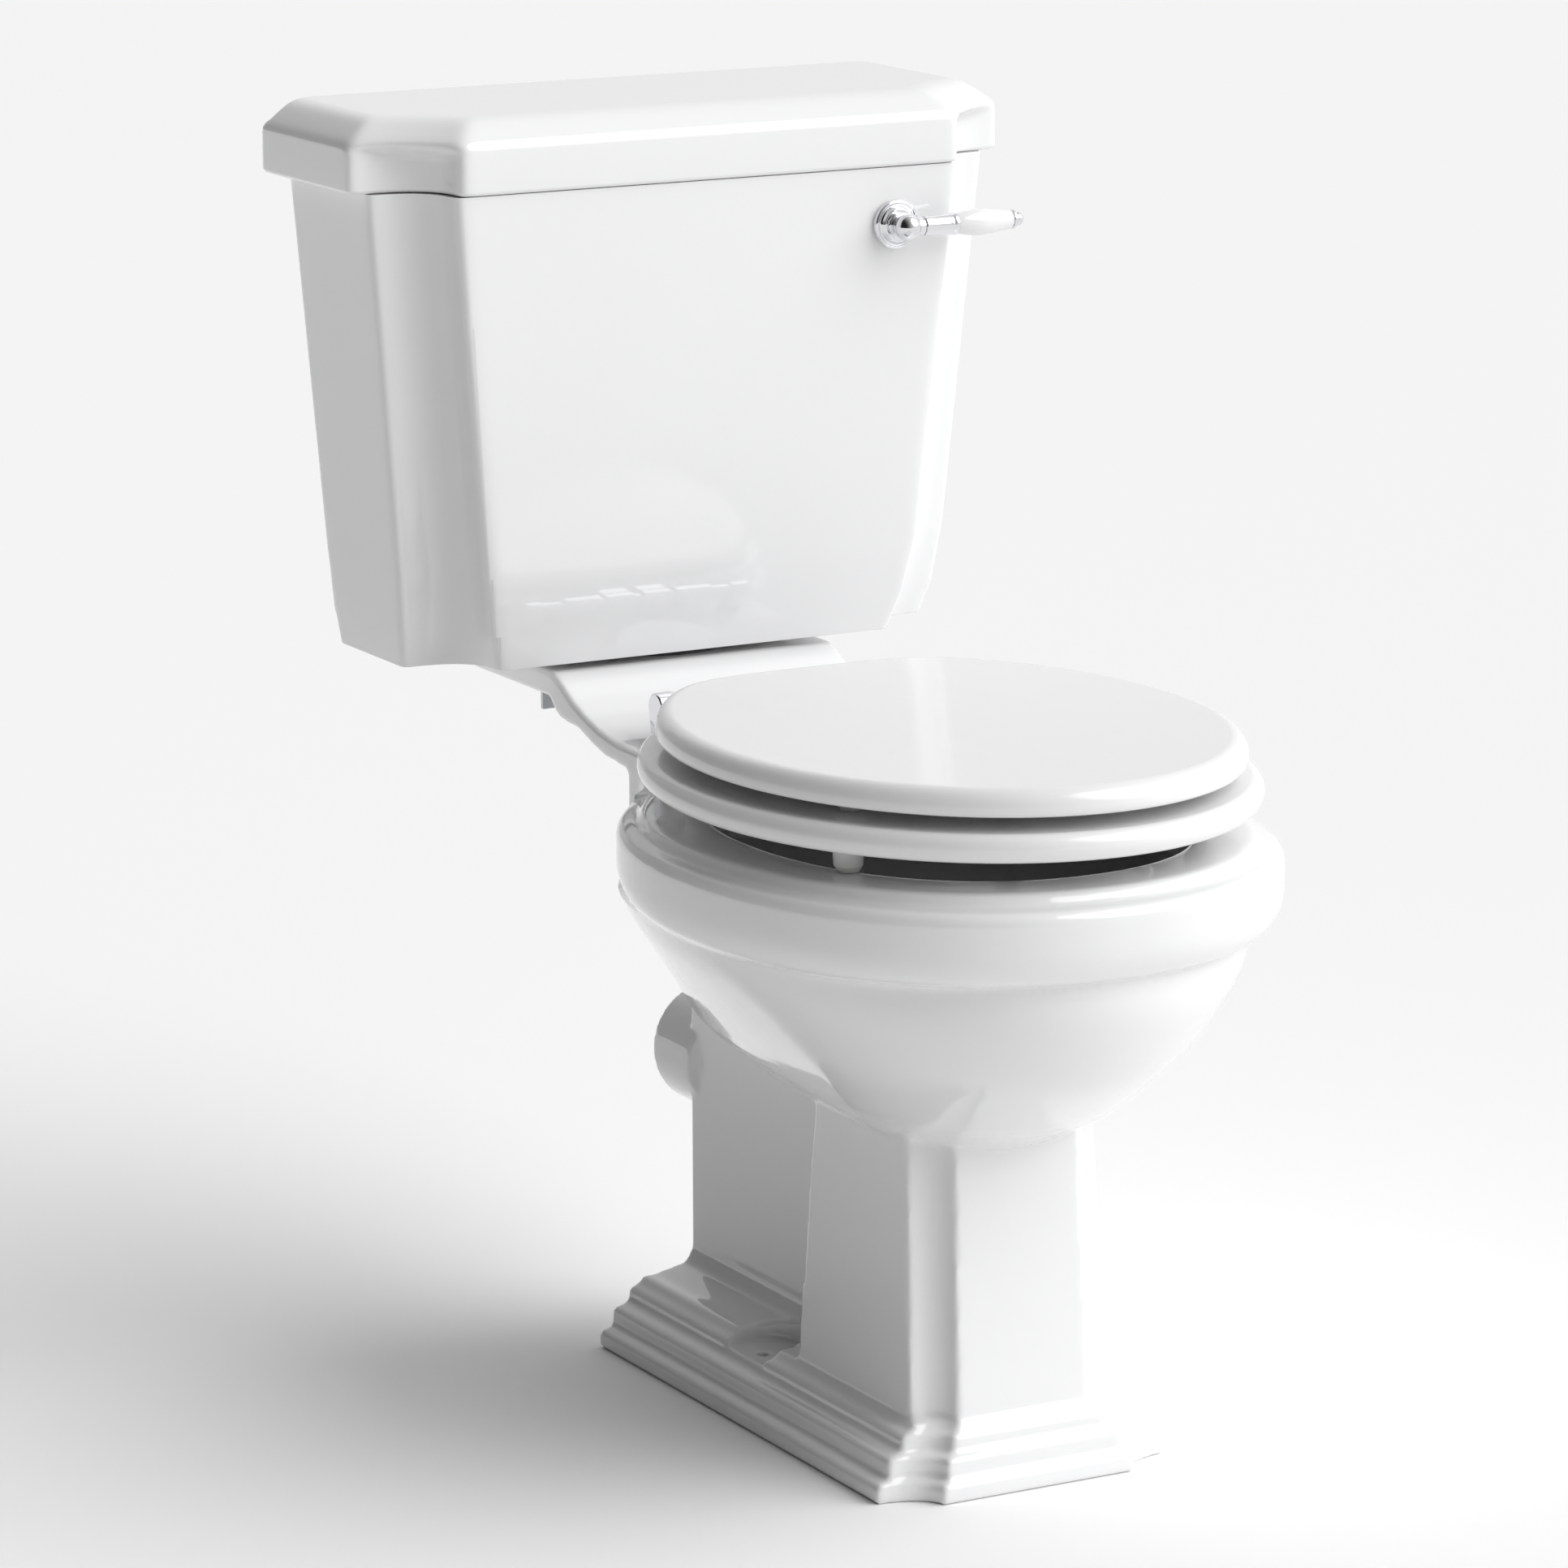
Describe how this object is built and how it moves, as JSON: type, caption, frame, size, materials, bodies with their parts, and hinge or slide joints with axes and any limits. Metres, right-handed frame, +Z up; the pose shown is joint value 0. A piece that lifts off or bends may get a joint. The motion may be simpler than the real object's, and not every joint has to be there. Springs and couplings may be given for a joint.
{
  "type": "close coupled toilet",
  "caption": "Floor standing china toilet with a moulded plinth, a coved cistern on its rear shelf, a front flush lever, and a wooden seat and lid on a bar hinge.",
  "frame": {"origin": "centre of the footprint on the floor: on the centre line, half way between the wall face of the cistern lid and the front of the rim", "axes": "+Z up, -Y towards the person who sits, +Y towards the wall, +X to the right of a person who faces the cistern"},
  "size_m": [0.48, 0.711, 0.815],
  "materials": {
    "china": "gloss",
    "chrome": "polished",
    "handle_ceramic": "gloss",
    "painted_wood": "gloss paint",
    "rubber": "matt",
    "buffer_rubber": "satin",
    "foam_rubber": "matt",
    "brass": "satin",
    "steel": "satin",
    "white_plastic": "satin",
    "black_plastic": "satin",
    "clear_sheet": "satin",
    "float_plastic": "satin"
  },
  "bodies": {
    "root": {"pan": "china", "cistern_body": "china", "lever_rosette": "chrome", "lever_washer": "rubber", "lever_backnut": "brass", "siphon_body": "white_plastic", "siphon_washer": "rubber", "siphon_backnut": "black_plastic", "doughnut_washer": "foam_rubber", "valve_body": "brass", "valve_washers": "rubber", "valve_backnuts": "brass", "float_pin": "brass", "coupling_bolts": "steel", "coupling_rubber_washers": "rubber", "coupling_steel_washers": "steel", "coupling_wing_nuts": "steel", "hinge_pillars": "chrome", "hinge_studs": "steel", "hinge_washers": "rubber", "hinge_wing_nuts": "white_plastic"},
    "seat_ring_body": {"seat_ring": "painted_wood", "ring_buffers": "buffer_rubber", "ring_brackets": "chrome", "ring_bracket_screws": "steel", "hinge_bar": "chrome"},
    "seat_lid_body": {"seat_lid": "painted_wood", "lid_buffers": "buffer_rubber", "lid_brackets": "chrome", "lid_bracket_screws": "steel"},
    "cistern_lid_body": {"cistern_lid": "china"},
    "lever_body": {"lever_hub": "chrome", "lever_sleeve": "chrome", "lever_handle": "handle_ceramic", "lever_finial": "chrome", "lever_spindle": "brass", "lever_arm": "brass", "lever_arm_screw": "steel"},
    "plunger_body": {"siphon_plunger": "white_plastic", "siphon_diaphragm": "clear_sheet", "lift_link": "steel"},
    "float_body": {"float_arm": "brass", "float_ball": "float_plastic"}
  },
  "joints": [
    {"name": "seat_ring_hinge", "type": "hinge", "parent": "root", "child": "seat_ring_body", "pos_m": [0, 0.1015, 0.439], "axis": [-1, 0, 0], "range_deg": [0, 92]},
    {"name": "seat_lid_hinge", "type": "hinge", "parent": "seat_ring_body", "child": "seat_lid_body", "pos_m": [0, 0.1015, 0.439], "axis": [1, 0, 0], "range_deg": [-92, 0]},
    {"name": "cistern_lid_lift", "type": "slide", "parent": "root", "child": "cistern_lid_body", "axis": [0, 0, 1], "range_m": [0, 0.2]},
    {"name": "flush_lever", "type": "hinge", "parent": "root", "child": "lever_body", "pos_m": [0.136, 0.1585, 0.7285], "axis": [0, 1, 0], "range_deg": [0, 25], "stiffness_Nm_per_rad": 0.6, "springref_deg": -22.92},
    {"name": "plunger_lift", "type": "slide", "parent": "root", "child": "plunger_body", "axis": [0, 0, 1], "range_m": [0, 0.0276]},
    {"name": "float_swing", "type": "hinge", "parent": "root", "child": "float_body", "pos_m": [0.168, 0.3105, 0.687], "axis": [0, 1, 0], "range_deg": [0, 20]}
  ],
  "couplings": [
    {"joint": "plunger_lift", "follows": "flush_lever", "m_per_rad": 0.063}
  ]
}
